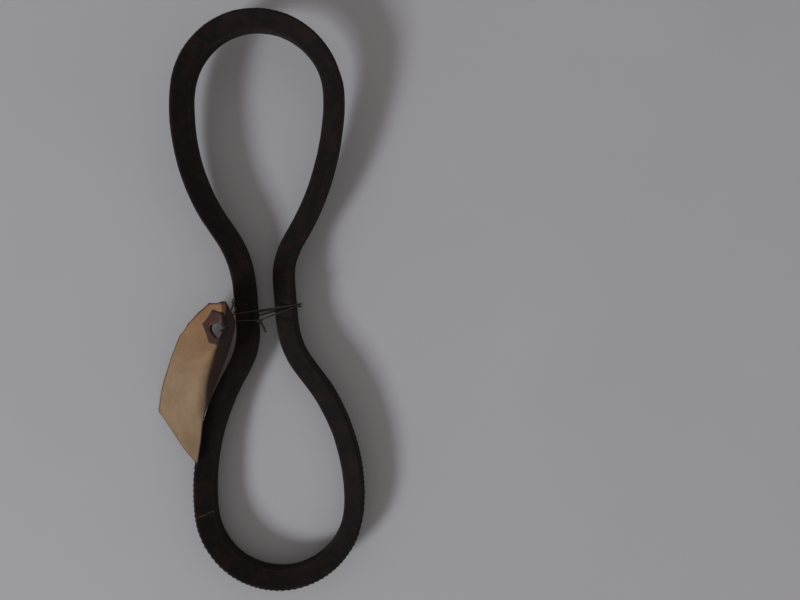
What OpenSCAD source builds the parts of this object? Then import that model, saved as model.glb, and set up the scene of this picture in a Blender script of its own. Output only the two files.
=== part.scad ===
// Wrapped V-belt of classical A section, lying on its side with its two runs
// drawn together at the waist by a soft wire, and a card tag hung on that wire.
// Origin: on the surface that the belt lies on, midway between the two runs at the
// waist. +Y runs along the loop, +Z is up. The upper end of the loop is raised.

/* [Belt section] */
// Width across the back of the belt
top_w = 13; // [10:0.5:18]
// Height from the back to the inner face
belt_h = 8; // [6.5:0.5:11]
// Angle between the two flanks
v_angle = 40; // [34:1:44]
// Chamfer on the two back corners
edge_c = 0.6; // [0.3:0.1:1]

/* [Belt layers] */
// Thickness of the outer fabric ply
outer_ply = 0.6; // [0.5:0.05:0.8]
// Thickness of the inner fabric ply
inner_ply = 0.5; // [0.3:0.05:0.8]
// Gap where the two edges of a ply meet along the back
ply_gap = 0.2; // [0.1:0.1:0.5]
// Depth of the cord layer below the back
cord_depth = 2.7; // [2.3:0.1:3.4]
// Diameter of one tensile cord
cord_d = 0.85; // [0.6:0.05:1]
// Distance from one turn of cord to the next
cord_pitch = 0.94; // [0.9:0.02:1.3]
// Rubber between the outermost cord and the fabric
cord_edge = 0.15; // [0.1:0.05:0.5]
// Thickness of the soft rubber above and below the cord centres
cushion_t = 0.8; // [0.6:0.1:1.1]

/* [Loop] */
// Half the distance between the backs of the two runs at the waist
waist_half = 11.8; // [10:0.2:16]
// Half the length of the straight stretch at the waist
waist_flat = 7; // [6.6:0.2:9]
// Distance from the straight stretch to the middle of the upper end
upper_reach = 71.5; // [64:0.5:90]
// Sideways place of the middle of the upper end
upper_shift = 5; // [0:0.5:7]
// Radius of the back round the upper end
upper_r = 33.5; // [26:0.5:40]
// Distance from the straight stretch to the middle of the lower end
lower_reach = 71.5; // [64:0.5:90]
// Sideways place of the middle of the lower end
lower_shift = -1; // [-4:0.5:2]
// Radius of the back round the lower end
lower_r = 33.5; // [26:0.5:40]
// Back radii of the four waist bends: upper left, upper right, lower left, lower right
waist_r = [36, 20, 25, 29]; // [15:1:45]
// Back radii of the four long sides, in the same order
side_r = [84, 112, 97, 83]; // [60:1:130]
// Slope of the raised upper half
lift = 6; // [2:0.5:8]
// Radius, at mid height, of the bend that raises it
lift_r = 30; // [20:1:60]

/* [Tie] */
// Diameter of the soft steel wire
wire_d = 0.5; // [0.3:0.05:0.5]
// Clear space between the wire and what it passes
wire_gap = 0.05; // [0.03:0.01:0.1]
// Radius of the wire, to its centre, where it turns a corner
wire_bend = 0.4; // [0.35:0.05:0.5]
// How far the wire stands off the left run where the tag's loop hooks on
wire_bow = 2.6; // [2:0.1:4]
// Length of the twisted end
twist_l = 4.5; // [3:0.5:8]

/* [Tag] */
// Width of the card
tag_w = 30; // [25:1:36]
// Length of the card
tag_l = 60; // [50:1:66]
// Thickness of the card
tag_t = 0.4; // [0.3:0.05:0.6]
// Length cut off each corner at the holed end
tag_clip = 7; // [5:0.5:9]
// Distance from the holed end to the middle of the hole
hole_in = 7.5; // [6:0.5:10]
// Diameter of the hole
hole_d = 5.5; // [4:0.5:6]
// Distance across the corners of the patch
patch_w = 14; // [11:0.5:16]
// Thickness of one patch
patch_t = 0.3; // [0.2:0.05:0.4]
// Thickness of the glue under a patch
glue_t = 0.12; // [0.1:0.02:0.2]

/* [Hidden] */
$fa = 3;
$fs = 0.4;
base_nodes = ["outer_cover", "inner_cover", "back_rubber", "upper_cushion", "lower_cushion",
              "base_rubber", "tie_wire", "tag_loop", "tag", "tag_patch_front", "tag_patch_back"];
waist_steps = 3;
side_steps = 4;
end_steps = 6;
half_angle = v_angle / 2;
wrap_t = outer_ply + inner_ply;
mid_z = half_v(edge_c);
top_z = 2 * mid_z;
bend_z = mid_z + lift_r;
cord_room = half_v(cord_depth) - wrap_t / cos(half_angle) - cord_edge - cord_d / 2;
cord_count = 1 + floor(2 * cord_room / cord_pitch + 0.001);

// Half the width of the belt at a depth below its back
function half_v(depth) = top_w / 2 - depth * tan(half_angle);
function unit(v) = v / norm(v);

// Centre of a circle that touches both others: where two circles cross, on the chosen side
function crossing(c0, r0, c1, r1) =
    let (d = c1 - c0, n = norm(d), a = (r0 * r0 - r1 * r1 + n * n) / (2 * n), h = sqrt(r0 * r0 - a * a))
    c0 + a * d / n + h * [-d[1], d[0]] / n;

// ---- Sections: lists of [depth below the back, place across the belt] ----

// Half the width at a depth, measured inside a skin of the given thickness
function inside_v(depth, skin) = half_v(depth) - skin / cos(half_angle);

function slab(from, to, skin) = [
    [from, inside_v(from, skin)], [to, inside_v(to, skin)],
    [to, -inside_v(to, skin)], [from, -inside_v(from, skin)]];

// A wrapped ply: round the outline, back round the inside, with its edges meeting at v on the back
function wrapped(outline, inside, v) = concat(
    [[outline[0][0], v + ply_gap / 2]], outline, [[outline[0][0], v - ply_gap / 2]],
    [[inside[0][0], v - ply_gap / 2]], [for (i = [3:-1:0]) inside[i]], [[inside[0][0], v + ply_gap / 2]]);

outer_edge = [
    [0, half_v(0) - edge_c], [edge_c, half_v(edge_c)], [belt_h, half_v(belt_h)],
    [belt_h, -half_v(belt_h)], [edge_c, -half_v(edge_c)], [0, edge_c - half_v(0)]];
under_outer = slab(outer_ply, belt_h - outer_ply, outer_ply);
under_inner = slab(wrap_t, belt_h - wrap_t, wrap_t);

// Cords are six-sided, with two corners on the line through all their centres
function cord_v(i) = ((cord_count + 1) / 2 - i) * cord_pitch;
function cord_corner(i, a) = [cord_depth - cord_d / 2 * sin(a), cord_v(i) + cord_d / 2 * cos(a)];

// Soft rubber on one side of the cord centres, from depth "far", moulded round the cords
function cushion(far) = let (up = far < cord_depth ? 1 : -1) concat(
    [[far, inside_v(far, wrap_t)], [cord_depth, inside_v(cord_depth, wrap_t)]],
    [for (i = [1:cord_count], a = [0:60:180]) cord_corner(i, up * a)],
    [[cord_depth, -inside_v(cord_depth, wrap_t)], [far, -inside_v(far, wrap_t)]]);

// ---- The loop: one chain of tangent arcs that every layer follows ----
// A station is [place of the back, outward direction, part of the lift already turned].

function arc_stations(centre, r, from, to, steps, out, t) =
    [for (i = [0:steps - 1]) let (a = from + (to - from) * i / steps, d = [cos(a), sin(a)])
        [centre + r * d, out * d, t]];

// The left run of one half, from the straight stretch up to the middle of the end
function run(end, r_end, r_waist, r_side, t) =
    let (waist = [-waist_half - r_waist, 0],
         side = crossing(end, r_side - r_end, waist, r_side + r_waist),
         a_waist = atan2(side[1] - waist[1], side[0] - waist[0]),
         a_side = (atan2(end[1] - side[1], end[0] - side[0]) + 360) % 360)
    concat(arc_stations(waist, r_waist, 0, a_waist, waist_steps, -1, t),
           arc_stations(side, r_side, a_waist + 180, a_side, side_steps, 1, t),
           arc_stations(end, r_end, a_side, 90, end_steps, 1, t),
           [[end + [0, r_end], [0, 1], t]]);

function flip(s, x, y) = [[x * s[0][0], y * s[0][1]], [x * s[1][0], y * s[1][1]], s[2]];
function shift_y(s, y) = [s[0] + [0, y], s[1], s[2]];

// One half of the loop as seen with the end upwards, from its left run to its right run
function half_loop(reach, shift, r_end, left, right, t) =
    let (l = run([shift, reach], r_end, waist_r[left], side_r[left], t),
         r = run([-shift, reach], r_end, waist_r[right], side_r[right], t))
    concat(l, [for (i = [len(r) - 2:-1:0]) flip(r[i], -1, 1)]);

upper = [for (s = half_loop(upper_reach, upper_shift, upper_r, 0, 1, 1)) shift_y(s, waist_flat)];
lower = [for (s = half_loop(lower_reach, lower_shift, lower_r, 2, 3, 0)) flip(shift_y(s, waist_flat), 1, -1)];
left_foot = [[-waist_half, waist_flat], [-1, 0], 0];
right_foot = [[waist_half, waist_flat], [1, 0], 0];
stations = concat([left_foot], upper, [right_foot], [for (i = [len(lower) - 1:-1:0]) lower[i]]);

// Raise a point by part of the lift, turning it about a line above the end of the straight stretch
function raised(p, t) =
    let (y = p[1] - waist_flat, z = p[2] - bend_z, a = lift * t)
    [p[0], waist_flat + y * cos(a) - z * sin(a), bend_z + y * sin(a) + z * cos(a)];

function at_station(s, p) =
    raised([s[0][0] - p[0] * s[1][0], s[0][1] - p[0] * s[1][1], mid_z + p[1]], s[2]);

// Faces of a closed ring of n sections with k points each
function ring_faces(n, k) = [for (i = [0:n - 1], j = [0:k - 1])
    let (a = i * k, b = (i + 1) % n * k, m = (j + 1) % k) [a + j, b + j, b + m, a + m]];

module belt_layer(section) {
    polyhedron([for (s = stations, p = section) at_station(s, p)],
               ring_faces(len(stations), len(section)));
}

module outer_cover() color("#2a2224") difference() {
    belt_layer(wrapped(outer_edge, under_outer, top_w / 8));
    wire_bites();
}
module inner_cover() color("#3a2f30") belt_layer(wrapped(under_outer, under_inner, -top_w / 8));
module back_rubber() color("#1c1a1b") belt_layer(slab(wrap_t, cord_depth - cushion_t, wrap_t));
module upper_cushion() color("#3c3534") belt_layer(cushion(cord_depth - cushion_t));
module lower_cushion() color("#4a4140") belt_layer(cushion(cord_depth + cushion_t));
module base_rubber() color("#1c1a1b") belt_layer(slab(cord_depth + cushion_t, belt_h - wrap_t, wrap_t));
module tensile_cord(i) color("#c9b98e") belt_layer([for (a = [0:60:300]) cord_corner(i, a)]);

// ---- Wires: tubes swept along a path, with frames that don't twist ----

function square_to(v, t) = unit(v - (v * t) * t);

function tube_rings(path, r, sides, around) =
    let (n = len(path),
         t = [for (i = [0:n - 1]) unit(path[around ? (i + 1) % n : min(i + 1, n - 1)]
                                       - path[around ? (i + n - 1) % n : max(i - 1, 0)])],
         u = [for (i = 0, v = square_to([0.3, 1, 0.2], t[0]); i < n;
                   i = i + 1, v = i < n ? square_to(v, t[i]) : v) v])
    [for (i = [0:n - 1], k = [0:sides - 1]) let (a = 360 * k / sides)
        path[i] + r * (cos(a) * u[i] + sin(a) * cross(t[i], u[i]))];

module tube(path, d, around = false, sides = 6) {
    n = len(path);
    last = (n - 1) * sides;
    walls = [for (i = [0:n - (around ? 1 : 2)], k = [0:sides - 1])
        let (a = i * sides, b = (i + 1) % n * sides, m = (k + 1) % sides) [a + k, b + k, b + m, a + m]];
    ends = around ? [] : [[for (k = [0:sides - 1]) k], [for (k = [sides - 1:-1:0]) last + k]];
    polyhedron(tube_rings(path, d / 2, sides, around), concat(walls, ends));
}

// ---- Tie: two turns of wire round both runs, closed by a twist in the gap ----

tie_x = waist_half + wire_d / 2 + wire_gap;
tie_low = wire_d / 2 + wire_gap / 2;
tie_high = top_z - tie_low;
// Where each turn crosses the left and the right run
left_y = [-1.7, -4.5];
right_y = [-0.9, -0.1];
twist_from = [-2.2, -4.8, tie_high + wire_d / 2];
twist_dir = unit([0.42, -0.88, 0.2]);
hook_y = left_y[1] - 0.3;
hook_x = -tie_x - wire_bow / 2;
hook_z = tie_high + 0.15;

// A quarter turn of wire round a corner of the two runs, clockwise as seen from the front
function corner(side, level, y, from) = [for (k = [0:2])
    let (a = from - 45 * k,
         c = [side * (tie_x - wire_bend), level > 0 ? tie_high - wire_bend : tie_low + wire_bend])
    [c[0] + wire_bend * cos(a), y, c[1] + wire_bend * sin(a)]];

// One strand of the twist, half a turn away from the other
function strand(phase) = [for (k = [0:9])
    let (a = phase + 72 * k, u = square_to([0, 0, 1], twist_dir), w = cross(twist_dir, u), r = wire_d * 0.56)
    twist_from + twist_l * (k + 0.5) / 10 * twist_dir + r * (cos(a) * u + sin(a) * w)];

function tail(s, dir) = concat(s, [s[9] + twist_l / 3 * unit(twist_dir + dir)]);

tie_path = concat(
    [for (i = [10:-1:0]) tail(strand(100), [0.5, 0, 0.35])[i]],
    corner(1, 1, right_y[0], 90), corner(1, -1, right_y[0], 0),
    corner(-1, -1, left_y[0], -90), corner(-1, 1, left_y[0], 180),
    corner(1, 1, right_y[1], 90), corner(1, -1, right_y[1], 0),
    corner(-1, -1, left_y[1], -90),
    [[-tie_x - wire_bow * 0.55, hook_y, mid_z], [-tie_x - wire_bow, hook_y, hook_z - 2.2],
     [-tie_x - wire_bow * 0.9, hook_y, hook_z - 0.7], [hook_x - 0.2, hook_y, hook_z],
     [-tie_x - 0.1, hook_y + 0.1, hook_z], [-tie_x + wire_bend, left_y[1], tie_high]],
    tail(strand(280), [-0.5, 0, 0.25]));

// The shallow marks that the tight wire presses into the cover at the back corners
module wire_bites() {
    deep = wire_d + wire_gap;
    for (level = [0, 1]) translate([0, 0, level * top_z]) mirror([0, 0, level]) {
        for (y = left_y) translate([-waist_half - 1, y - 2 * wire_d, -1]) cube([3.6, 4 * wire_d, 1 + deep]);
        translate([waist_half - 2.6, right_y[0] - 2 * wire_d, -1])
            cube([3.6, right_y[1] - right_y[0] + 4 * wire_d, 1 + deep]);
    }
}

module tie_wire() color("#3b3533") tube(tie_path, wire_d);

// ---- Tag: a flat card with one slanting bend, worked out from the flat card ----
// On the card, s runs across from the middle and t runs from the holed end.

// Where the bend leaves the holed end; it runs from there to the far right corner
ridge_s = -4;
ridge_at = [-15.4, 0.7, 30.6];
ridge_heading = -107;
ridge_drop = 14.5;
lean = 24;
face_r = 70;
bend_r = 4;
bend_a = 104;

ridge_slant = atan2(tag_w / 2 - ridge_s, tag_l);
along = [cos(ridge_heading) * cos(ridge_drop), sin(ridge_heading) * cos(ridge_drop), -sin(ridge_drop)];
level_side = [sin(ridge_heading), -cos(ridge_heading), 0];
level_up = cross(level_side, along);
side_dir = cos(lean) * level_side - sin(lean) * level_up;
up_dir = sin(lean) * level_side + cos(lean) * level_up;

// Angle turned by the card, and its place in the section square to the ridge, at distance q
function turned(q) = q >= 0 ? q / face_r * 180 / PI : -min(-q / bend_r * 180 / PI, bend_a);
function profile(q) = q >= 0
    ? face_r * [sin(turned(q)), cos(turned(q)) - 1]
    : let (a = -turned(q), rest = -q - bend_r * a * PI / 180)
      [-bend_r * sin(a) - rest * cos(a), -bend_r * (1 - cos(a)) - rest * sin(a)];
function normal_at(q) = sin(turned(q)) * side_dir + cos(turned(q)) * up_dir;
function across_ridge(s, t) = t * sin(ridge_slant) - (s - ridge_s) * cos(ridge_slant);

function on_card(s, t, off) =
    let (q = across_ridge(s, t), w = (s - ridge_s) * sin(ridge_slant) + t * cos(ridge_slant), p = profile(q))
    ridge_at + w * along + p[0] * side_dir + p[1] * up_dir + off * normal_at(q);

// A bent plate over a grid of [s, t] rows, between two distances off the card's middle
module bent_plate(grid, low, high) {
    m = len(grid);
    n = len(grid[0]);
    points = concat([for (row = grid, c = row) on_card(c[0], c[1], high)],
                    [for (row = grid, c = row) on_card(c[0], c[1], low)]);
    k = m * n;
    rim = concat([for (j = [0:n - 1]) j], [for (i = [1:m - 1]) i * n + n - 1],
                 [for (j = [n - 2:-1:0]) (m - 1) * n + j], [for (i = [m - 2:-1:1]) i * n]);
    faces = concat(
        [for (i = [0:m - 2], j = [0:n - 2]) let (a = i * n + j)
            each [[a, a + 1, a + n + 1], [a, a + n + 1, a + n]]],
        [for (i = [0:m - 2], j = [0:n - 2]) let (a = k + i * n + j)
            each [[a, a + n + 1, a + 1], [a, a + n, a + n + 1]]],
        [for (i = [0:len(rim) - 1]) let (a = rim[i], b = rim[(i + 1) % len(rim)])
            each [[a, a + k, b + k], [a, b + k, b]]]);
    polyhedron(points, faces);
}

function half_width(t) = min(tag_w / 2, tag_w / 2 - tag_clip + t);
patch_end = hole_in + patch_w / 2;
tag_rows = concat([for (i = [0:4]) tag_clip * i / 4],
                  [for (i = [1:4]) tag_clip + (patch_end - tag_clip) * i / 4],
                  [for (i = [1:6]) patch_end + (tag_l - patch_end) * i / 6]);
tag_grid = [for (t = tag_rows)
    [for (j = [-18:18]) [half_width(t) * j / 18, t]]];
patch_grid = [for (i = [-3:3]) let (half = patch_w / 2 * (1 - abs(i) / 6))
    [for (j = [-5:5]) [half * j / 5, hole_in + patch_w * 0.433 * i / 3]]];

hole_at = on_card(0, hole_in, 0);
hole_dir = normal_at(across_ridge(0, hole_in));

// Turn a shape that stands on +Z to stand on the card at the hole
module at_hole() {
    translate(hole_at) rotate([0, acos(hole_dir[2]), atan2(hole_dir[1], hole_dir[0])]) children();
}

module hole() {
    at_hole() cylinder(h = 6, d = hole_d, center = true, $fn = 32);
}

module tag() color("#8b7254") difference() {
    bent_plate(tag_grid, -tag_t / 2, tag_t / 2);
    hole();
}

module tag_patch_front() color("#4a2418") difference() {
    bent_plate(patch_grid, tag_t / 2 + glue_t, tag_t / 2 + glue_t + patch_t);
    hole();
}

module tag_patch_back() color("#4a2418") difference() {
    bent_plate(patch_grid, -tag_t / 2 - glue_t - patch_t, -tag_t / 2 - glue_t);
    hole();
}

// ---- Loop: a closed ring of wire through the hole, round the card's end and under the tie ----

loop_low = [hook_x, hook_y, hook_z - wire_d - 0.35];
loop_edge = on_card(5, -2.2, 0);
loop_path = [
    loop_low, loop_low + [-0.1, 1.1, 0.5], loop_low + [0.1, 1.9, 1.8], loop_low + [0.4, 3, 5],
    loop_edge + [0.3, 0.6, -4], loop_edge, on_card(4, 0.6, 1.6), on_card(2.4, 2.6, 2.2),
    on_card(0.8, 5.4, 2), hole_at + 0.9 * hole_dir, hole_at - 1.1 * hole_dir,
    hole_at - 4 * hole_dir + [0.2, 0, -0.6],
    loop_low + [0, -1.6, 6.5], loop_low + [0, -1.6, 2.2], loop_low + [0, -1, 0.6]];

// The path with each stretch bowed smoothly through its points
function smooth_at(p, i, f) =
    let (n = len(p), a = p[(i + n - 1) % n], b = p[i], c = p[(i + 1) % n], d = p[(i + 2) % n])
    b + (c - a) * f / 2 + (2 * a - 5 * b + 4 * c - d) * f * f / 2 + (3 * b - a - 3 * c + d) * f * f * f / 2;
module tag_loop() color("#55504c")
    tube([for (i = [0:len(loop_path) - 1], f = [0, 0.5]) smooth_at(loop_path, i, f)], wire_d, around = true);

outer_cover();
inner_cover();
back_rubber();
upper_cushion();
lower_cushion();
base_rubber();
for (i = [1:cord_count]) tensile_cord(i);
tie_wire();
tag_loop();
tag();
tag_patch_front();
tag_patch_back();
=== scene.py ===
"""An endless wrapped V belt on its side, tied at the waist with soft wire, with its stock tag.

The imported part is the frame. The cover, both wires, the card and its patches are rebuilt here in full detail;
the rubber, cushions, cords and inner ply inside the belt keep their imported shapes. Sizes are in millimetres.
"""

import math

import bpy
import numpy as np
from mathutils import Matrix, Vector, geometry, noise


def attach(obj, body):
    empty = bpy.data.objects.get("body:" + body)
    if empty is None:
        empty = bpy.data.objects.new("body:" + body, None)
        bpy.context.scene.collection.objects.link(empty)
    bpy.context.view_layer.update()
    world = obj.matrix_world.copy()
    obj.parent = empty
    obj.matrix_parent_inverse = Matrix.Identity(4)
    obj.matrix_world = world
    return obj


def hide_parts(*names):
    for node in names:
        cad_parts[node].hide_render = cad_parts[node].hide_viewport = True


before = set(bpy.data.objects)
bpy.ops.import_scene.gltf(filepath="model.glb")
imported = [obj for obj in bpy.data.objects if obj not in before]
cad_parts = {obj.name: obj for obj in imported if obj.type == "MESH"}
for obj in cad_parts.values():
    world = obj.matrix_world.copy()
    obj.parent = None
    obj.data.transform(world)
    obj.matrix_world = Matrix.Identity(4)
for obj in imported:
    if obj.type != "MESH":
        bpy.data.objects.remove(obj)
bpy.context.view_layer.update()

MM = 0.001

# ---- Belt section ----
TOP_W = 13.0
BELT_H = 8.0
HALF_ANGLE = math.radians(20)
SLOPE = math.tan(HALF_ANGLE)
BACK_CORNER_R = 0.9
BASE_CORNER_R = 0.7
EDGE_C = 0.6
MID_Z = TOP_W / 2 - EDGE_C * SLOPE
TOP_Z = 2 * MID_Z

# ---- Belt loop: tangent arcs along the back ----
WAIST_HALF = 11.8
WAIST_FLAT = 7.0
UPPER_END = (5.0, 71.5)
LOWER_END = (-1.0, 71.5)
END_R = 33.5
WAIST_R = {"upper left": 36, "upper right": 20, "lower left": 25, "lower right": 29}
SIDE_R = {"upper left": 84, "upper right": 112, "lower left": 97, "lower right": 83}
LIFT = math.radians(6)
LIFT_R = 30
BEND_Z = MID_Z + LIFT_R
# Distance between stations, and the width over which the joins of the arcs are rounded off
STEP = 0.45
SOFT_W = 5.0

# ---- Cover ----
LAP_DEPTH = 0.13
PUCKER_PITCH = 2.2
PUCKER_H = 0.06
# How much deeper the puckers are on the lower lobe
LOWER_PUCKER_H = 0.26
WAVE_H = 0.11
DENT_REACH = 0.9
DENT_DEPTH = 0.10
# Where the end of the cover strip is, and how far along the belt its line is moved from there
SPLICE_PLACE = (-29.6, -78.7)
SPLICE_SHIFT = 2.4

# ---- Wires ----
WIRE_D = 0.5
WIRE_GAP = 0.05
WIRE_BEND = 0.4
WIRE_BOW = 2.6
TWIST_L = 4.5
TWIST_STEP = 72
TIP_DOME = 0.12

# ---- Card and patches ----
TAG_W = 30.0
TAG_L = 60.0
TAG_T = 0.4
TAG_CLIP = 7.0
HOLE_IN = 7.5
HOLE_D = 5.5
PATCH_W = 14.0
PATCH_T = 0.3
GLUE_T = 0.12
# Share of its width that the patch keeps across the tight curl
PATCH_SHARE = 0.66


# ---- Meshes ----

def mesh_piece(name, points, faces, uv=None, marks=None):
    """A smooth shaded mesh from points in millimetres; uv has a pair in millimetres for each corner."""
    mesh = bpy.data.meshes.new(name)
    mesh.from_pydata([Vector(p) * MM for p in points], [], faces)
    mesh.polygons.foreach_set("use_smooth", [True] * len(mesh.polygons))
    if uv is not None:
        layer = mesh.uv_layers.new(name="flat_mm")
        layer.data.foreach_set("uv", np.asarray(uv, float).ravel())
    for mark, values in (marks or {}).items():
        attribute = mesh.attributes.new(mark, "FLOAT", "POINT")
        attribute.data.foreach_set("value", np.asarray(values, float))
    mesh.validate()
    piece = bpy.data.objects.new(name, mesh)
    bpy.context.scene.collection.objects.link(piece)
    return piece


def unit(v):
    v = np.asarray(v, float)
    return v / np.linalg.norm(v, axis=-1, keepdims=True)


# ---- The loop ----

def crossing(c0, r0, c1, r1):
    """Centre of a circle that touches both others."""
    d = np.subtract(c1, c0)
    n = np.hypot(*d)
    a = (r0 * r0 - r1 * r1 + n * n) / (2 * n)
    h = math.sqrt(r0 * r0 - a * a)
    return np.asarray(c0) + a * d / n + h * np.array([-d[1], d[0]]) / n


def arc(centre, r, start, end, out):
    """Places along an arc of the back and the outward direction at each."""
    steps = max(4, round(abs(end - start) * r / STEP))
    angles = start + (end - start) * np.arange(steps) / steps
    away = np.stack([np.cos(angles), np.sin(angles)], axis=1)
    return np.hstack([centre + r * away, out * away])


def run(end, waist_r, side_r):
    """The left run of one half, from the straight stretch up to the middle of the end."""
    end = np.asarray(end, float)
    waist = np.array([-WAIST_HALF - waist_r, 0.0])
    side = crossing(end, side_r - END_R, waist, side_r + waist_r)
    waist_turn = math.atan2(*(side - waist)[::-1])
    side_turn = math.atan2(*(end - side)[::-1]) % (2 * math.pi)
    return np.vstack([
        arc(waist, waist_r, 0, waist_turn, -1),
        arc(side, side_r, waist_turn + math.pi, side_turn, 1),
        arc(end, END_R, side_turn, math.pi / 2, 1)])


def half_loop(end, half):
    """One half with its end upwards, from its left run to its right run."""
    left = run(end, WAIST_R[half + " left"], SIDE_R[half + " left"])
    right = run((-end[0], end[1]), WAIST_R[half + " right"], SIDE_R[half + " right"])
    top = np.array([[end[0], end[1] + END_R, 0, 1]])
    both = np.vstack([left, top, right[::-1] * [-1, 1, -1, 1]])
    return both + [0, WAIST_FLAT, 0, 0]


def soften(values, width):
    """Rounds off a closed list over the given width, and keeps long curves where they are."""
    reach = np.arange(-int(3 * width / STEP), int(3 * width / STEP) + 1)
    weights = np.exp(-0.5 * (reach * STEP / width) ** 2)
    weights /= weights.sum()
    once = sum(w * np.roll(values, k, axis=0) for w, k in zip(weights, reach))
    twice = sum(w * np.roll(once, k, axis=0) for w, k in zip(weights, reach))
    return 2 * once - twice


def loop_stations():
    """Evenly spaced places of the back at mid height, with the outward and the width directions."""
    upper = half_loop(UPPER_END, "upper")
    lower = half_loop(LOWER_END, "lower") * [1, -1, 1, -1]
    foot = np.array([[-WAIST_HALF, WAIST_FLAT, -1, 0]])
    bend = [np.hstack([foot * [side, 1, side, 1], [[part]]]) for side in (1, -1) for part in (0, 0.25, 0.5,
                                                                                              0.75)]
    chain = np.vstack(bend[:4] + [np.hstack([upper, np.ones((len(upper), 1))])] + bend[:3:-1]
                      + [np.hstack([lower[::-1], np.zeros((len(lower), 1))])])
    turn = LIFT * chain[:, 4]
    far = chain[:, 1] - WAIST_FLAT
    low = MID_Z - BEND_Z
    place = np.stack([chain[:, 0], WAIST_FLAT + far * np.cos(turn) - low * np.sin(turn),
                      BEND_Z + far * np.sin(turn) + low * np.cos(turn)], axis=1)
    outward = np.stack([chain[:, 2], chain[:, 3] * np.cos(turn), chain[:, 3] * np.sin(turn)], axis=1)
    width = np.stack([0 * turn, -np.sin(turn), np.cos(turn)], axis=1)
    around = np.vstack([place, place[:1]])
    run_at = np.concatenate([[0], np.cumsum(np.linalg.norm(np.diff(around, axis=0), axis=1))])
    count = round(run_at[-1] / STEP)
    marks = np.arange(count) * run_at[-1] / count
    even = [np.stack([np.interp(marks, run_at, np.append(column, column[0])) for column in values.T],
                     axis=1)
            for values in (place, outward, width)]
    place, outward, width = (soften(values, SOFT_W) for values in even)
    return marks, place, unit(outward), unit(width), run_at[-1]


# ---- The cover ----

def section():
    """Outline as [depth below the back, place across], then its outward normal, from the back's middle."""
    down = HALF_ANGLE
    back_v = TOP_W / 2 - BACK_CORNER_R * SLOPE - BACK_CORNER_R / math.cos(down)
    base_v = TOP_W / 2 - (BELT_H - BASE_CORNER_R) * SLOPE - BASE_CORNER_R / math.cos(down)
    points = []
    for part in np.linspace(0, 1, 9)[:-1]:
        points.append((0, part * back_v, -1, 0))
    for a in np.linspace(-math.pi / 2, down, 8):
        points.append((BACK_CORNER_R * (1 + math.sin(a)), back_v + BACK_CORNER_R * math.cos(a),
                       math.sin(a), math.cos(a)))
    start = np.array(points[-1][:2])
    end = np.array([BELT_H - BASE_CORNER_R * (1 - math.sin(down)), base_v + BASE_CORNER_R * math.cos(down)])
    for part in np.linspace(0, 1, 12)[1:-1]:
        points.append((*(start + part * (end - start)), math.sin(down), math.cos(down)))
    for a in np.linspace(down, math.pi / 2, 6):
        points.append((BELT_H - BASE_CORNER_R * (1 - math.sin(a)), base_v + BASE_CORNER_R * math.cos(a),
                       math.sin(a), math.cos(a)))
    for part in np.linspace(1, 0, 5)[1:]:
        points.append((BELT_H, part * base_v, 1, 0))
    half = np.array(points)
    return np.vstack([half, half[-2:0:-1] * [1, -1, 1, -1]])


def near_wire(points, path):
    """Distance from each point to the nearest place on a wire."""
    best = np.full(len(points), 99.0)
    for a, b in zip(path[:-1], path[1:]):
        part = np.clip(((points - a) @ (b - a)) / ((b - a) @ (b - a) + 1e-9), 0, 1)
        best = np.minimum(best, np.linalg.norm(points - a - part[:, None] * (b - a), axis=1))
    return best


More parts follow.
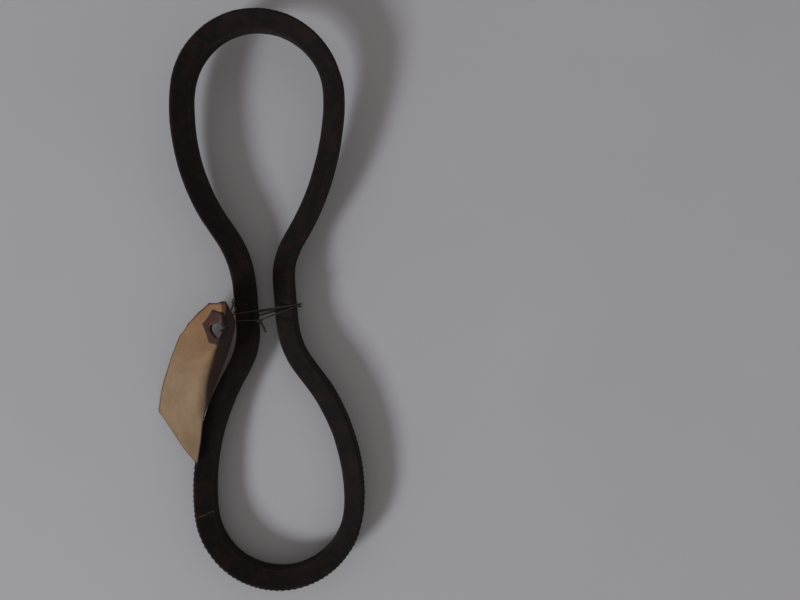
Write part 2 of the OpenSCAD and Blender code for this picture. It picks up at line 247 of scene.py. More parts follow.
def build_cover(path):
    """The wrapped cover: rounded section, lapped edge on the back, puckers, and bites under the tie."""
    marks, place, outward, width, length = loop_stations()
    outline = section()
    around = np.concatenate([[0], np.cumsum(np.linalg.norm(np.diff(outline[:, :2], axis=0), axis=1))])
    girth = around[-1] + np.linalg.norm(outline[0, :2] - outline[-1, :2])
    count, sides = len(marks), len(outline)
    depth, across = outline[:, 0], outline[:, 1]
    points = (place[:, None] - depth[None, :, None] * outward[:, None] + across[None, :, None] * width[:,
                                                                                                       None])
    normals = -outline[None, :, 2, None] * outward[:, None] + outline[None, :, 3, None] * width[:, None]

    lap_edge = TOP_W / 8 + 0.35 * np.sin(marks / 9.0) + 0.2 * np.sin(marks / 3.7)
    under_lap = (depth[None, :] < 0.02) & (across[None, :] < lap_edge[:, None])
    lift = np.where(under_lap, -LAP_DEPTH, 0.0)

    lower = np.clip((-place[:, 1] - 30) / 30, 0, 1)[:, None]
    back = np.exp(-((depth / 0.8) ** 2))[None, :]
    pucker = np.abs((marks[:, None] / PUCKER_PITCH + 0.35 * np.sin(marks[:, None] / 6.1)) % 1 - 0.5) * 2
    lift = lift - back * (PUCKER_H + LOWER_PUCKER_H * lower) * (1 - pucker)

    flat = points.reshape(-1, 3)
    wave = np.array([noise.noise(Vector(p) / 9.0) + 0.4 * noise.noise(Vector(p) / 2.6) for p in flat])
    lift = lift + WAVE_H * wave.reshape(count, sides)
    points = points + lift[:, :, None] * normals

    flat = points.reshape(-1, 3)
    away = normals.reshape(-1, 3)
    waist = np.abs(flat[:, 1]) < 9
    gap = near_wire(flat[waist], path)
    pressed = np.where(gap < DENT_REACH, DENT_DEPTH * ((DENT_REACH - gap) / DENT_REACH) ** 2, 0)
    pressed = pressed + np.clip(WIRE_D / 2 + 0.03 - gap, 0, 1) * 1.3
    flat[waist] -= pressed[:, None] * away[waist]

    a = np.arange(count)[:, None] * sides + np.arange(sides)[None, :]
    b = np.roll(a, -1, axis=0)
    quads = np.stack([a, np.roll(a, -1, axis=1), np.roll(b, -1, axis=1), b], axis=2).reshape(-1, 4)
    u0 = np.broadcast_to(marks[:, None], (count, sides))
    u1 = u0 + length / count
    v0 = np.broadcast_to(around[None, :], (count, sides))
    v1 = np.broadcast_to(np.append(around[1:], girth)[None, :], (count, sides))
    uv = np.stack([np.stack([u0, v0], 2), np.stack([u0, v1], 2), np.stack([u1, v1], 2),
                   np.stack([u1, v0], 2)], 2)
    # Corner bands for the shader: wear plus painted highlight on back and base corners, painted light on the
    # base face
    back_wear_and_highlight = np.exp(-(((depth - 0.25) / 0.45) ** 2)) * (np.abs(across) > 4)
    base_wear_and_painted_light = 0.9 * np.exp(-(((depth - BELT_H + 0.25) / 0.3) ** 2)) * (np.abs(across) > 2.6)
    base_wear_and_painted_light = np.maximum(base_wear_and_painted_light, 0.5 * (depth > BELT_H - 0.05))
    wear_and_painted_light = np.broadcast_to((back_wear_and_highlight + base_wear_and_painted_light)[None, :], (count, sides))
    piece = mesh_piece("belt_cover", flat, quads.tolist(), uv.reshape(-1, 2), {"wear_and_painted_light": wear_and_painted_light.ravel()})
    splice = np.argmin(np.hypot(*(place[:, :2] - SPLICE_PLACE).T))
    return piece, marks[splice]


# ---- The wires ----

def square_to(v, t):
    v = np.asarray(v, float)
    return unit(v - (v @ t) * t)


def smooth_path(path, fine, closed):
    """The path with each stretch bowed smoothly through its points."""
    path = np.asarray(path, float)
    n = len(path)
    out = []
    for i in range(n if closed else n - 1):
        pick = [(i + k) % n if closed else min(max(i + k, 0), n - 1) for k in (-1, 0, 1, 2)]
        a, b, c, d = path[pick]
        for f in np.arange(fine) / fine:
            out.append(b + (c - a) * f / 2 + (2 * a - 5 * b + 4 * c - d) * f * f / 2
                       + (3 * b - a - 3 * c + d) * f ** 3 / 2)
    if not closed:
        out.append(path[-1])
    return np.array(out)


def wire_piece(name, path, closed):
    """A round wire along a path, with frames that don't twist; an open one ends in a small dome."""
    sides = 12
    n = len(path)
    ahead = np.roll(path, -1, axis=0)
    behind = np.roll(path, 1, axis=0)
    if not closed:
        ahead[-1] = path[-1]
        behind[0] = path[0]
    tangents = unit(ahead - behind)
    u = square_to([0.3, 1, 0.2], tangents[0])
    points = []
    run_at = np.concatenate([[0], np.cumsum(np.linalg.norm(np.diff(path, axis=0), axis=1))])
    for i in range(n):
        u = square_to(u, tangents[i])
        w = np.cross(tangents[i], u)
        r = WIRE_D / 2 * (1 + 0.04 * math.sin(run_at[i] * 2.3) + 0.03 * math.sin(run_at[i] * 5.1))
        for k in range(sides):
            angle = 2 * math.pi * k / sides
            points.append(path[i] + r * (math.cos(angle) * u + math.sin(angle) * w))
    faces = []
    for i in range(n if closed else n - 1):
        for k in range(sides):
            a, b, m = i * sides, (i + 1) % n * sides, (k + 1) % sides
            faces.append((a + k, a + m, b + m, b + k))
    if not closed:
        for i, t in ((0, -1), (n - 1, 1)):
            tip = len(points)
            points.append(path[i] + t * TIP_DOME * tangents[i])
            for k in range(sides):
                a, b = i * sides + k, i * sides + (k + 1) % sides
                faces.append((b, a, tip) if t < 0 else (a, b, tip))
    return mesh_piece(name, points, faces)


TIE_X = WAIST_HALF + WIRE_D / 2 + WIRE_GAP
TIE_LOW = WIRE_D / 2 + WIRE_GAP / 2
TIE_HIGH = TOP_Z - TIE_LOW
LEFT_Y = (-1.7, -4.5)
RIGHT_Y = (-0.9, -0.1)
TWIST_FROM = np.array([-2.2, -4.8, TIE_HIGH + WIRE_D / 2])
TWIST_DIR = unit([0.42, -0.88, 0.2])
HOOK = np.array([-TIE_X - WIRE_BOW / 2, LEFT_Y[1] - 0.3, TIE_HIGH + 0.15])


def corner(side, level, y, start):
    """A quarter turn of wire round a corner of the two runs."""
    x = side * (TIE_X - WIRE_BEND)
    z = TIE_HIGH - WIRE_BEND if level > 0 else TIE_LOW + WIRE_BEND
    angles = [math.radians(start - 45 * k) for k in range(3)]
    return [(x + WIRE_BEND * math.cos(a), y, z + WIRE_BEND * math.sin(a)) for a in angles]


def strand(phase, tail):
    """One strand of the twisted end, with its loose tail."""
    u = square_to([0, 0, 1], TWIST_DIR)
    w = np.cross(TWIST_DIR, u)
    points = []
    for k in range(10):
        a = math.radians(phase + TWIST_STEP * k)
        points.append(TWIST_FROM + TWIST_L * (k + 0.5) / 10 * TWIST_DIR
                      + WIRE_D * 0.56 * (math.cos(a) * u + math.sin(a) * w))
    return points + [points[-1] + TWIST_L / 3 * unit(TWIST_DIR + np.array(tail))]


def tie_path():
    hook_y = HOOK[1]
    bow = [
        (-TIE_X - WIRE_BOW * 0.55, hook_y, MID_Z), (-TIE_X - WIRE_BOW, hook_y, HOOK[2] - 2.2),
        (-TIE_X - WIRE_BOW * 0.9, hook_y, HOOK[2] - 0.7), (HOOK[0] - 0.2, hook_y, HOOK[2]),
        (-TIE_X - 0.1, hook_y + 0.1, HOOK[2]), (-TIE_X + WIRE_BEND, LEFT_Y[1], TIE_HIGH)]
    return (strand(100, (0.5, 0, 0.35))[::-1]
            + corner(1, 1, RIGHT_Y[0], 90) + corner(1, -1, RIGHT_Y[0], 0)
            + corner(-1, -1, LEFT_Y[0], -90) + corner(-1, 1, LEFT_Y[0], 180)
            + corner(1, 1, RIGHT_Y[1], 90) + corner(1, -1, RIGHT_Y[1], 0)
            + corner(-1, -1, LEFT_Y[1], -90) + bow + strand(280, (-0.5, 0, 0.25)))


# ---- The card ----

# Where chosen places of the flat card lie: (s across from its middle, t from its holed end), then (x, y, z).
# A soft ridge runs from the holed end to the right edge. The left side faces the light, and the right side
# faces the belt.
CARD_PLACES = [
    ((-8, 0), (-19, 3.5, 23)), ((2, 0), (-13, 3.5, 30)), ((8, 0), (-12, 3.5, 26.5)),
    ((-11.5, 3.5), (-24, 0, 21)), ((-15, 7), (-29, -4, 18.5)), ((11.5, 3.5), (-11.5, 0.5, 22.5)),
    ((15, 7), (-10.5, -4.5, 19)), ((0, 7.5), (-14.5, -8, 28.6)), ((-15, 15), (-33, -8, 15)),
    ((2.5, 15), (-17.5, -14, 28)), ((15, 16), (-13.5, -13.5, 17)), ((-15, 22), (-36.5, -13.5, 12.5)),
    ((4, 22), (-19.5, -17.5, 26.5)), ((15, 29), (-20, -26.5, 15.5)), ((-15, 33), (-40.5, -20, 8)),
    ((6, 29), (-21.5, -21, 25)), ((10, 36), (-24, -28, 21)), ((-15, 46), (-45, -29, 3.8)),
    ((0, 44), (-35, -34.5, 13)), ((15, 39), (-24.5, -35.5, 15)), ((15, 43), (-26.5, -40.5, 14.8)),
    ((15, 51), (-28.5, -49.5, 14.2)), ((-15, 60), (-48, -38.5, 1)), ((0, 60), (-39.5, -48.5, 9)),
    ((8, 60), (-35, -54, 12.8)), ((9, 50), (-32, -45.5, 13.2)), ((15, 60), (-31, -59, 13.4))]
# How loosely the sheet follows those places
CARD_SLACK = 0.4


def pull(r2):
    """How strongly a chosen place pulls on the sheet at a squared distance."""
    return 0.5 * r2 * np.log(r2 + 1e-9)


def bend_weights():
    """Weights of the smooth sheet that passes close to every chosen place."""
    flat = np.array([place[0] for place in CARD_PLACES], float)
    solid = np.array([place[1] for place in CARD_PLACES], float)
    n = len(flat)
    level = np.hstack([np.ones((n, 1)), flat])
    matrix = np.zeros((n + 3, n + 3))
    matrix[:n, :n] = pull(((flat[:, None] - flat[None]) ** 2).sum(axis=2)) + CARD_SLACK * np.eye(n)
    matrix[:n, n:] = level
    matrix[n:, :n] = level.T
    return flat, np.linalg.solve(matrix, np.vstack([solid, np.zeros((3, 3))]))


BEND = bend_weights()


def card_middle(spots):
    flat, weights = BEND
    spots = np.asarray(spots, float)
    reach = pull(((spots[:, None] - flat[None]) ** 2).sum(axis=2))
    return np.hstack([reach, np.ones((len(spots), 1)), spots]) @ weights


def on_card(spots, off):
    """Places on the bent card, off above its middle, for flat places [s, t]."""
    spots = np.atleast_2d(np.asarray(spots, float))
    step = 0.2
    across = card_middle(spots + [step, 0]) - card_middle(spots - [step, 0])
    along = card_middle(spots + [0, step]) - card_middle(spots - [0, step])
    return card_middle(spots) + np.reshape(off, (-1, 1)) * unit(np.cross(along, across))


def flat_sheet(outline, hole, spacing):
    """Triangles of a flat sheet with a hole, with its inner points on a grid."""
    rings = [outline, hole]
    points = [Vector(p) for ring in rings for p in ring]
    edges = []
    first = 0
    for ring in rings:
        edges += [(first + k, first + (k + 1) % len(ring)) for k in range(len(ring))]
        first += len(ring)
    low, high = np.min(outline, axis=0), np.max(outline, axis=0)
    rim = np.array(points)
    for s in np.arange(low[0] + spacing / 2, high[0], spacing):
        for t in np.arange(low[1] + spacing / 2, high[1], spacing):
            if np.min(np.hypot(rim[:, 0] - s, rim[:, 1] - t)) > spacing * 0.55:
                points.append(Vector((s, t)))
    made = geometry.delaunay_2d_cdt(points, edges, [], 1, 1e-6)
    spots = np.array([tuple(p) for p in made[0]])
    kept = []
    for face in made[2]:
        middle = spots[list(face)].mean(axis=0)
        if inside(middle, outline) and not inside(middle, hole):
            kept.append(tuple(face))
    return spots, kept


def inside(p, ring):
    """Whether a flat point lies inside a ring."""
    found = False
    for k in range(len(ring)):
        (x0, y0), (x1, y1) = ring[k - 1], ring[k]
        if (y0 > p[1]) != (y1 > p[1]) and p[0] < (x1 - x0) * (p[1] - y0) / (y1 - y0) + x0:
            found = not found
    return found


def ragged(corners, spacing, depth, round_r):
    """A worn outline: points along straight edges, with soft corners and a slightly frayed line."""
    ring = []
    n = len(corners)
    for k in range(n):
        a, b, c = (np.array(corners[(k + j) % n], float) for j in (-1, 0, 1))
        into, out = unit(b - a), unit(c - b)
        for part in (0, 0.25, 0.5, 0.75, 1):
            start, end = b - round_r * into, b + round_r * out
            ring.append((1 - part) ** 2 * start + 2 * part * (1 - part) * b + part ** 2 * end)
        steps = int(np.linalg.norm(c - b) / spacing)
        for j in range(2, steps - 1):
            ring.append(b + (c - b) * j / steps)
    at_edges = []
    middle = np.mean(corners, axis=0)
    for p in ring:
        fray = depth * noise.noise(Vector((p[0] * 0.9, p[1] * 0.9, 3.7)))
        at_edges.append(tuple(p + unit(middle - p) * (fray + depth * 0.6)))
    return at_edges


def true_to_size(places, step):
    """Places round the hole in real millimetres on the bent card, as flat places [s, t]."""
    centre = np.array([0, HOLE_IN])
    across, along = [(card_middle([centre + d]) - card_middle([centre - d]))[0] / (2 * step)
                     for d in (np.array([step, 0]), np.array([0, step]))]
    stretch = np.array([[across @ across, across @ along], [across @ along, along @ along]])
    values, turns = np.linalg.eigh(stretch)
    shrink = turns @ np.diag(values ** -0.5) @ turns.T
    return [tuple(centre + shrink @ np.asarray(place, float)) for place in places]


def round_hole(d, uneven):
    """A punched hole, as flat places."""
    ring = []
    for k in range(40):
        a = 2 * math.pi * k / 40
        r = d / 2 * (1 + uneven * noise.noise(Vector((math.cos(a), math.sin(a), 5.1))))
        ring.append((r * math.cos(a), r * math.sin(a)))
    return true_to_size(ring, HOLE_D / 2)


def plate(name, outline, hole, low, high, spacing, relief):
    """A bent sheet of fibre between two distances off the card's middle, with a rounded rim."""
    spots, faces = flat_sheet(outline, hole, spacing)
    count = len(spots)
    counted = {}
    for a, b, c in faces:
        for edge in ((a, b), (b, c), (c, a)):
            counted[edge] = counted.get(edge, 0) + 1
    rim = [edge for edge in counted if (edge[1], edge[0]) not in counted]
    rim_points = np.array([spots[a] for a, b in rim])
    to_rim = np.array([np.min(np.hypot(*(rim_points - p).T)) for p in spots])
    points, uv = [], []
    for level, sign in ((high, 1), (low, -1)):
        bumps = [relief * noise.noise(Vector((p[0] / 3, p[1] / 3, 0))) - 0.05 * math.exp(-d / 0.3)
                 for p, d in zip(spots, to_rim)]
        points.extend(on_card(spots, level + sign * np.array(bumps)))
    middle_at = {}
    for a, b in rim:
        for k in (a, b):
            if k not in middle_at:
                middle_at[k] = len(points)
                points.append(on_card(spots[k], (low + high) / 2)[0])
    edge_marks = np.concatenate([to_rim, to_rim, np.zeros(len(middle_at))])
    quads = [tuple(f) for f in faces]
    quads += [tuple(count + k for k in reversed(f)) for f in faces]
    for a, b in rim:
        quads.append((b, a, middle_at[a], middle_at[b]))
        quads.append((middle_at[b], middle_at[a], count + a, count + b))
    flat = {k: spots[k] for k in range(count)}
    flat.update({count + k: spots[k] for k in range(count)})
    flat.update({v: spots[k] for k, v in middle_at.items()})
    for face in quads:
        uv += [tuple(flat[k]) for k in face]
    return mesh_piece(name, points, quads, uv, {"to_edge": edge_marks})


def build_card():
    half = TAG_W / 2
    corners = [(-half, TAG_L), (half, TAG_L), (half, TAG_CLIP), (half - TAG_CLIP, 0),
               (TAG_CLIP - half, 0), (-half, TAG_CLIP)]
    outline = ragged(corners, 0.9, 0.12, 0.5)
    return plate("card", outline, round_hole(HOLE_D, 0.02), -TAG_T / 2, TAG_T / 2, 0.9, 0.05)


def build_patch(name, side):
    half = PATCH_W / 2
    corners = [(PATCH_SHARE * half * math.cos(math.radians(60 * k)), half * math.sin(math.radians(60 * k)))
               for k in range(6)]
    outline = ragged(true_to_size(corners, PATCH_W / 2), 0.6, 0.08, 0.5)
    near = side * (TAG_T / 2 + GLUE_T)
    far = side * (TAG_T / 2 + GLUE_T + PATCH_T)
    return plate(name, outline, round_hole(HOLE_D, 0.03), min(near, far), max(near, far), 0.6, 0.03)


def loop_path():
    """The tag's ring of wire: up from the tie, round the clipped edge, over the patch, and back through."""
    low = HOOK - [0, 0, WIRE_D + 0.35]
    edge = on_card((13.6, 1.6), 0)[0]
    above = on_card([(11.0, 3.4), (7.6, 4.4), (4.4, 5.4), (1.9, 6.2)], [2.6, 2.9, 2.9, 2.2])
    through = on_card([(0.4, 7.0), (0.2, 7.1), (1.5, 6.2), (5, 5)], [0.7, -0.9, -2.4, -3.4])
    return [low, low + [-0.1, 1.0, 0.5], low + [0.1, 1.8, 1.8], low + [0.3, 2.8, 5.2],
            edge + [0.8, 1.2, -1.2],
            edge + [0.2, 0.8, 1.2], *above, *through,
            low + [0.1, -1.3, 6.2], low + [0, -1.6, 2.2], low + [0, -1, 0.6]]


# ---- Materials ----

def linear(code):
    """A colour written as sRGB hex, in linear light."""
    parts = [int(code[k:k + 2], 16) / 255 for k in (1, 3, 5)]
    return tuple(p / 12.92 if p <= 0.04045 else ((p + 0.055) / 1.055) ** 2.4 for p in parts) + (1.0,)


def add(tree, kind, inputs=None, **settings):
    """Adds one node with its settings; each input takes a value or the socket that feeds it."""
    node = tree.nodes.new("ShaderNode" + kind)
    for name, value in settings.items():
        setattr(node, name, value)
    for key, value in (inputs or {}).items():
        if isinstance(value, bpy.types.NodeSocket):
            tree.links.new(value, node.inputs[key])
        else:
            node.inputs[key].default_value = value
    return node


def new_material(name):
    material = bpy.data.materials.new(name)
    material.use_nodes = True
    material.node_tree.nodes.clear()
    return material, material.node_tree


def finish_material(tree, inputs, height=None, distance=0.05):
    """The surface shader, with a bump whose full height is given in millimetres."""
    if height is not None:
        bump = add(tree, "Bump", {"Strength": 1.0, "Distance": distance * MM, "Height": height})
        inputs["Normal"] = bump.outputs[0]
    surface = add(tree, "BsdfPrincipled", inputs)
    add(tree, "OutputMaterial", {"Surface": surface.outputs[0]})


def wrapped_cotton(splice_at):
    """Cotton cover soaked in rubber and cured: near black, matt, bias weave, brown bloom, dust, wear and
    painted highlight.
    """
    material, tree = new_material("rubber_soaked_cotton")
    flat = add(tree, "UVMap", uv_map="flat_mm").outputs[0]
    place = add(tree, "TexCoord").outputs["Object"]
    mm = add(tree, "VectorMath", {0: place, "Scale": 1000.0}, operation="SCALE").outputs[0]

    # Threads lie at 45 degrees to the belt. Real ones are 0.5 mm apart; 0.8 mm is the finest that shows.
    bias = add(tree, "Mapping", {"Vector": flat, "Rotation": (0, 0, math.radians(45)),
                                 "Scale": (1.25, 1.25, 1)})
    wobble = add(tree, "TexNoise", {"Vector": mm, "Scale": 0.35, "Detail": 2.0})
    thread = add(tree, "VectorMath", {0: bias.outputs[0], 1: wobble.outputs["Color"]},
                 operation="ADD").outputs[0]
    parts = add(tree, "SeparateXYZ", {0: thread})
    warp = add(tree, "Math", {0: parts.outputs[0], 1: 0.5}, operation="PINGPONG")
    weft = add(tree, "Math", {0: parts.outputs[1], 1: 0.5}, operation="PINGPONG")
    over = add(tree, "TexChecker", {"Vector": thread, "Scale": 1.0})
    weave = add(tree, "Mix", {0: over.outputs["Fac"], 2: warp.outputs[0], 3: weft.outputs[0]},
                data_type="FLOAT")

    bloom = add(tree, "TexNoise", {"Vector": mm, "Scale": 0.10, "Detail": 5.0, "Roughness": 0.62})
    blotch = add(tree, "TexNoise", {"Vector": mm, "Scale": 0.42, "Detail": 4.0, "Roughness": 0.6})
    grain = add(tree, "TexNoise", {"Vector": mm, "Scale": 2.4, "Detail": 3.0, "Roughness": 0.7})
    bloomed = add(tree, "MapRange", {"Value": bloom.outputs[0], "From Min": 0.46, "From Max": 0.62})
    blotched = add(tree, "MapRange", {"Value": blotch.outputs[0], "From Min": 0.50, "From Max": 0.64,
                                      "To Max": 0.75})
    black = add(tree, "Mix", {0: bloomed.outputs[0], 6: linear("#110c0e"), 7: linear("#231615")},
                data_type="RGBA")
    red = add(tree, "Mix", {0: blotched.outputs[0], 6: black.outputs[2], 7: linear("#261513")},
              data_type="RGBA")

    # Dust sits on the high threads; the corners are paler from wear plus painted highlight, the base face from
    # painted light.
    wear_and_painted_light = add(tree, "Attribute", attribute_name="wear_and_painted_light")
    high = add(tree, "MapRange", {"Value": weave.outputs[0], "From Min": 0.28, "From Max": 0.5})
    dusty = add(tree, "MapRange", {"Value": grain.outputs[0], "From Min": 0.45, "From Max": 0.75})
    on_threads = add(tree, "Math", {0: high.outputs[0], 1: dusty.outputs[0]}, operation="MULTIPLY")
    at_edges = add(tree, "Math", {0: wear_and_painted_light.outputs["Fac"], 1: dusty.outputs[0], 2: 0.0},
               operation="MULTIPLY_ADD")
    faint = add(tree, "Math", {0: on_threads.outputs[0], 1: 0.16}, operation="MULTIPLY")
    overlay_with_painted_light = add(tree, "Math", {0: at_edges.outputs[0], 1: 0.5, 2: faint.outputs[0]}, operation="MULTIPLY_ADD")
    dust_and_highlight = add(tree, "Mix", {0: overlay_with_painted_light.outputs[0], 6: red.outputs[2], 7: linear("#665a55")},
               data_type="RGBA")

    # The end of the cover strip shows as a thin, broken, pale brown line across the belt.
    run_v = add(tree, "SeparateXYZ", {0: flat})
    slant = add(tree, "Math", {0: run_v.outputs[1], 1: -0.22, 2: SPLICE_SHIFT - splice_at},
                operation="MULTIPLY_ADD")
    off = add(tree, "Math", {0: run_v.outputs[0], 1: slant.outputs[0]}, operation="ADD")
    ripple = add(tree, "Math", {0: blotch.outputs[0], 1: 1.6, 2: off.outputs[0]}, operation="MULTIPLY_ADD")
    apart = add(tree, "Math", {0: ripple.outputs[0]}, operation="ABSOLUTE")
    line = add(tree, "MapRange", {"Value": apart.outputs[0], "From Min": 0.2, "From Max": 0.38,
                                  "To Min": 1.0, "To Max": 0.0})
    broken = add(tree, "Math", {0: line.outputs[0], 1: dusty.outputs[0]}, operation="MULTIPLY")
    colour = add(tree, "Mix", {0: broken.outputs[0], 6: dust_and_highlight.outputs[2], 7: linear("#9a7d62")},
                 data_type="RGBA")

    rough = add(tree, "MapRange", {"Value": grain.outputs[0], "To Min": 0.66, "To Max": 0.92})
    coarse = add(tree, "Math", {0: grain.outputs[0], 1: 0.5, 2: weave.outputs[0]}, operation="MULTIPLY_ADD")
    finish_material(tree, {"Base Color": colour.outputs[2], "Roughness": rough.outputs[0], "IOR": 1.5,
                           "Specular IOR Level": 0.18}, coarse.outputs[0], 0.14)
    return material


def moulded_rubber(name, dark, light):
    """Cured rubber cut from a slab: black, dull, with a fine pebble and a little bloom."""
    material, tree = new_material(name)
    place = add(tree, "TexCoord").outputs["Object"]
    mm = add(tree, "VectorMath", {0: place, "Scale": 1000.0}, operation="SCALE").outputs[0]
    bloom = add(tree, "TexNoise", {"Vector": mm, "Scale": 0.2, "Detail": 5.0})
    pebble = add(tree, "TexNoise", {"Vector": mm, "Scale": 3.0, "Detail": 2.0})
    colour = add(tree, "Mix", {0: bloom.outputs[0], 6: linear(dark), 7: linear(light)}, data_type="RGBA")
    rough = add(tree, "MapRange", {"Value": pebble.outputs[0], "To Min": 0.55, "To Max": 0.8})
    finish_material(tree, {"Base Color": colour.outputs[2], "Roughness": rough.outputs[0], "IOR": 1.52},
                    pebble.outputs[0], 0.04)
    return material


def twisted_cord():
    """Polyester cord, twisted and dipped: tan yarns that wind round it every 1.2 mm."""
    material, tree = new_material("dipped_polyester_cord")
    place = add(tree, "TexCoord").outputs["Object"]
    mm = add(tree, "VectorMath", {0: place, "Scale": 1000.0}, operation="SCALE").outputs[0]
    tilt = add(tree, "Mapping", {"Vector": mm, "Rotation": (0.6, 0.3, 0.7)})
    yarns = add(tree, "TexWave", {"Vector": tilt.outputs[0], "Scale": 0.26, "Distortion": 0.4})
    colour = add(tree, "Mix", {0: yarns.outputs["Fac"], 6: linear("#8f7c55"), 7: linear("#cdbd93")},
                 data_type="RGBA")
    finish_material(tree, {"Base Color": colour.outputs[2], "Roughness": 0.7, "Sheen Weight": 0.2},
                    yarns.outputs["Fac"], 0.05)
    return material


def annealed_wire():
    """Soft iron wire, annealed black: dull grey-brown oxide with drawn streaks and specks of rust."""
    material, tree = new_material("annealed_iron_wire")
    place = add(tree, "TexCoord").outputs["Object"]
    mm = add(tree, "VectorMath", {0: place, "Scale": 1000.0}, operation="SCALE").outputs[0]
    scale = add(tree, "TexNoise", {"Vector": mm, "Scale": 1.6, "Detail": 4.0})
    speck = add(tree, "TexNoise", {"Vector": mm, "Scale": 3.5, "Detail": 2.0})
    rusty = add(tree, "MapRange", {"Value": scale.outputs[0], "From Min": 0.5, "From Max": 0.7})
    colour = add(tree, "Mix", {0: rusty.outputs[0], 6: linear("#4d4440"), 7: linear("#523b30")},
                 data_type="RGBA")
    metal = add(tree, "MapRange", {"Value": rusty.outputs[0], "To Min": 0.9, "To Max": 0.35})
    rough = add(tree, "MapRange", {"Value": speck.outputs[0], "To Min": 0.38, "To Max": 0.62})
    finish_material(tree, {"Base Color": colour.outputs[2], "Metallic": metal.outputs[0],
                           "Roughness": rough.outputs[0]}, speck.outputs[0], 0.03)
    return material


def manila_card():
    """Unbleached manila card, calendered: tan, dull, long fibres, old soil, grey-brown edges, and painted shade
    on the strip beside the belt.
    """
    material, tree = new_material("calendered_manila_card")
    flat = add(tree, "UVMap", uv_map="flat_mm").outputs[0]
    fibres = add(tree, "Mapping", {"Vector": flat, "Scale": (1.0, 0.25, 1)})
    fibre = add(tree, "TexNoise", {"Vector": fibres.outputs[0], "Scale": 2.6, "Detail": 4.0,
                                   "Roughness": 0.7})
    cloud = add(tree, "TexNoise", {"Vector": flat, "Scale": 0.07, "Detail": 5.0, "Roughness": 0.6})
    spots = add(tree, "TexNoise", {"Vector": flat, "Scale": 0.5, "Detail": 3.0, "Roughness": 0.75})
    clouded = add(tree, "MapRange", {"Value": cloud.outputs[0], "From Min": 0.35, "From Max": 0.65})
    base = add(tree, "Mix", {0: clouded.outputs[0], 6: linear("#8d7255"), 7: linear("#a08567")},
               data_type="RGBA")
    fibred = add(tree, "MapRange", {"Value": fibre.outputs[0], "From Min": 0.4, "From Max": 0.75,
                                    "To Max": 0.35})
    grained = add(tree, "Mix", {0: fibred.outputs[0], 6: base.outputs[2], 7: linear("#745a42")},
                  data_type="RGBA")

    # The holed end is tinted orange brown, fading out by 34 mm.
    run_t = add(tree, "SeparateXYZ", {0: flat})
    toward_holed_end = add(tree, "MapRange", {"Value": run_t.outputs[1], "From Min": 2.0, "From Max": 34.0,
                                     "To Min": 0.75, "To Max": 0.0})
    orange_tinted = add(tree, "Mix", {0: toward_holed_end.outputs[0], 6: grained.outputs[2], 7: linear("#966a40")},
                 data_type="RGBA")
    soiled = add(tree, "MapRange", {"Value": spots.outputs[0], "From Min": 0.58, "From Max": 0.75,
                                    "To Max": 0.45})
    spotted = add(tree, "Mix", {0: soiled.outputs[0], 6: orange_tinted.outputs[2], 7: linear("#5e4733")},
                  data_type="RGBA")

    # The strip beside the belt, past the ridge, is painted dark brown as shade.
    ridge = add(tree, "Math", {0: run_t.outputs[1], 1: run_t.outputs[1]}, operation="MULTIPLY")
    past_ridge = add(tree, "Math", {0: ridge.outputs[0], 1: -0.0073, 2: run_t.outputs[0]},
                     operation="MULTIPLY_ADD")
    holed_end_shift = add(tree, "MapRange", {"Value": run_t.outputs[1], "From Min": 1.0, "From Max": 9.0,
                                       "To Min": -6.5, "To Max": -1.2}, interpolation_type="SMOOTHSTEP")
    beside = add(tree, "Math", {0: past_ridge.outputs[0], 1: holed_end_shift.outputs[0]}, operation="ADD")
    strip = add(tree, "MapRange", {"Value": beside.outputs[0], "From Min": -0.6, "From Max": 1.8,
                                   "To Max": 0.93},
                interpolation_type="SMOOTHSTEP")
    ends = add(tree, "MapRange", {"Value": run_t.outputs[1], "From Min": 38.0, "From Max": 48.0,
                                  "To Min": 1.0, "To Max": 0.0})
    overlay_with_painted_light = add(tree, "Math", {0: strip.outputs[0], 1: ends.outputs[0]}, operation="MULTIPLY")
    with_painted_shade = add(tree, "Mix", {0: overlay_with_painted_light.outputs[0], 6: spotted.outputs[2], 7: linear("#33201a")},
                  data_type="RGBA")
    edge = add(tree, "Attribute", attribute_name="to_edge")
    near = add(tree, "MapRange", {"Value": edge.outputs["Fac"], "From Min": 0.1, "From Max": 0.9,
                                  "To Min": 0.85, "To Max": 0.0})
    colour = add(tree, "Mix", {0: near.outputs[0], 6: with_painted_shade.outputs[2], 7: linear("#3a2c20")},
                 data_type="RGBA")
    rough = add(tree, "MapRange", {"Value": fibre.outputs[0], "To Min": 0.7, "To Max": 0.9})
    finish_material(tree, {"Base Color": colour.outputs[2], "Roughness": rough.outputs[0], "IOR": 1.47},
                    fibre.outputs[0], 0.03)
    return material


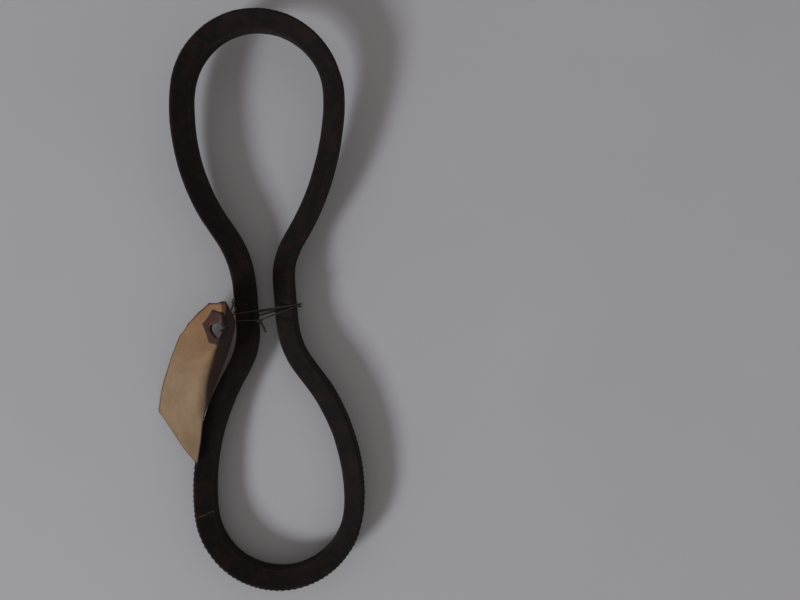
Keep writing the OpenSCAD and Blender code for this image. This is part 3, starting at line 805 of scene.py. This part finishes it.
def vulcanised_fibre():
    """Hard red fibre patch, pressed on: dark red-brown, a little glossy, darker at its rim, painted near black
    as shade past the ridge.
    """
    material, tree = new_material("pressed_red_fibre")
    flat = add(tree, "UVMap", uv_map="flat_mm").outputs[0]
    press = add(tree, "TexNoise", {"Vector": flat, "Scale": 1.8, "Detail": 4.0})
    cloud = add(tree, "TexNoise", {"Vector": flat, "Scale": 0.35, "Detail": 3.0})
    clouded = add(tree, "MapRange", {"Value": cloud.outputs[0], "From Min": 0.35, "From Max": 0.65})
    base = add(tree, "Mix", {0: clouded.outputs[0], 6: linear("#3c1a0f"), 7: linear("#4f2616")},
               data_type="RGBA")
    # Past the ridge, where the patch faces the belt, it is painted near black as shade.
    run_s = add(tree, "SeparateXYZ", {0: flat})
    strip = add(tree, "MapRange", {"Value": run_s.outputs[0], "From Min": -0.5, "From Max": 2.5,
                                   "To Max": 0.9},
                interpolation_type="SMOOTHSTEP")
    with_painted_shade = add(tree, "Mix", {0: strip.outputs[0], 6: base.outputs[2], 7: linear("#1d0f0b")},
                  data_type="RGBA")
    edge = add(tree, "Attribute", attribute_name="to_edge")
    near = add(tree, "MapRange", {"Value": edge.outputs["Fac"], "From Min": 0.0, "From Max": 0.6,
                                  "To Min": 0.6, "To Max": 0.0})
    colour = add(tree, "Mix", {0: near.outputs[0], 6: with_painted_shade.outputs[2], 7: linear("#220f0a")},
                 data_type="RGBA")
    rough = add(tree, "MapRange", {"Value": press.outputs[0], "To Min": 0.45, "To Max": 0.7})
    finish_material(tree, {"Base Color": colour.outputs[2], "Roughness": rough.outputs[0], "IOR": 1.5},
                    press.outputs[0], 0.03)
    return material


def table_top():
    """Pale matt table top, with only a breath of mottling."""
    material, tree = new_material("pale_table_top")
    place = add(tree, "TexCoord").outputs["Object"]
    cloud = add(tree, "TexNoise", {"Vector": place, "Scale": 14.0, "Detail": 4.0})
    colour = add(tree, "Mix", {0: cloud.outputs[0], 6: linear("#c1c1c4"), 7: linear("#c8c8cb")},
                 data_type="RGBA")
    finish_material(tree, {"Base Color": colour.outputs[2], "Roughness": 0.75})
    return material


# ---- Pieces ----

tie_line = smooth_path(tie_path(), 5, False)
cover, splice_run = build_cover(tie_line)
tie = wire_piece("tie", tie_line, False)
tag_wire = wire_piece("tag_wire", smooth_path(loop_path(), 7, True), True)
card = build_card()
patch_front = build_patch("patch_front", 1)
patch_back = build_patch("patch_back", -1)

iron = annealed_wire()
fibre_patch = vulcanised_fibre()
for piece, body, node, slot_name, finish in (
        (cover, "belt", "outer_cover", "wrap_fabric", wrapped_cotton(splice_run)),
        (tie, "belt", "tie_wire", "soft_wire", iron),
        (tag_wire, "tag_loop", "tag_loop", "soft_wire", iron),
        (card, "tag", "tag", "tag_card", manila_card()),
        (patch_front, "tag", "tag_patch_front", "patch_fibre", fibre_patch),
        (patch_back, "tag", "tag_patch_back", "patch_fibre", fibre_patch)):
    piece.data.materials.append(finish)
    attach(piece, body)
    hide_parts(node)

body_rubber = moulded_rubber("slab_cut_rubber", "#141213", "#231f20")
cushion = moulded_rubber("soft_cushion_rubber", "#2c2726", "#423a38")
cord_finish = twisted_cord()
inner_ply = moulded_rubber("rubbered_inner_ply", "#221b1b", "#3a2f2e")
INSIDE = {"back_rubber": body_rubber, "base_rubber": body_rubber, "upper_cushion": cushion,
          "lower_cushion": cushion, "inner_cover": inner_ply}
for name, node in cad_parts.items():
    finish = cord_finish if name.startswith("tensile_cord") else INSIDE.get(name)
    if finish is not None:
        for held in node.material_slots:
            held.material = finish

# ---- Floor, light and camera ----

FLOOR_HALF = 1.5
floor_mesh = bpy.data.meshes.new("floor")
floor_mesh.from_pydata([(-FLOOR_HALF, -FLOOR_HALF, 0), (FLOOR_HALF, -FLOOR_HALF, 0),
                        (FLOOR_HALF, FLOOR_HALF, 0),
                        (-FLOOR_HALF, FLOOR_HALF, 0)], [], [(0, 1, 2, 3)])
floor = bpy.data.objects.new("floor", floor_mesh)
floor.data.materials.append(table_top())
bpy.context.scene.collection.objects.link(floor)

camera = bpy.data.objects.new("camera", bpy.data.cameras.new("camera"))
camera.data.lens = 38.7
camera.data.sensor_width = 36
camera.data.clip_start = 0.01
camera.location = (0.0534, -0.0017, 0.350)
camera.rotation_euler = (0, 0, math.radians(-4.86))
bpy.context.scene.collection.objects.link(camera)
bpy.context.scene.camera = camera


def softbox(name, azimuth, height, distance, size, power, colour):
    """A square lamp that faces the middle of the belt."""
    lamp = bpy.data.lights.new(name, "AREA")
    lamp.shape = "SQUARE"
    lamp.size = size
    lamp.energy = power
    lamp.color = linear(colour)[:3]
    holder = bpy.data.objects.new(name, lamp)
    a, h = math.radians(azimuth), math.radians(height)
    away = Vector((math.cos(a) * math.cos(h), math.sin(a) * math.cos(h), math.sin(h)))
    holder.location = away * distance
    holder.rotation_euler = away.to_track_quat("Z", "Y").to_euler()
    bpy.context.scene.collection.objects.link(holder)


softbox("window_side", azimuth=217, height=32, distance=3.0, size=0.63, power=48, colour="#f6faff")

world = bpy.data.worlds.new("room")
world.use_nodes = True
world.node_tree.nodes["Background"].inputs["Color"].default_value = linear("#fdf6f4")
world.node_tree.nodes["Background"].inputs["Strength"].default_value = 0.28
bpy.context.scene.world = world
bpy.context.scene.view_settings.view_transform = "Standard"
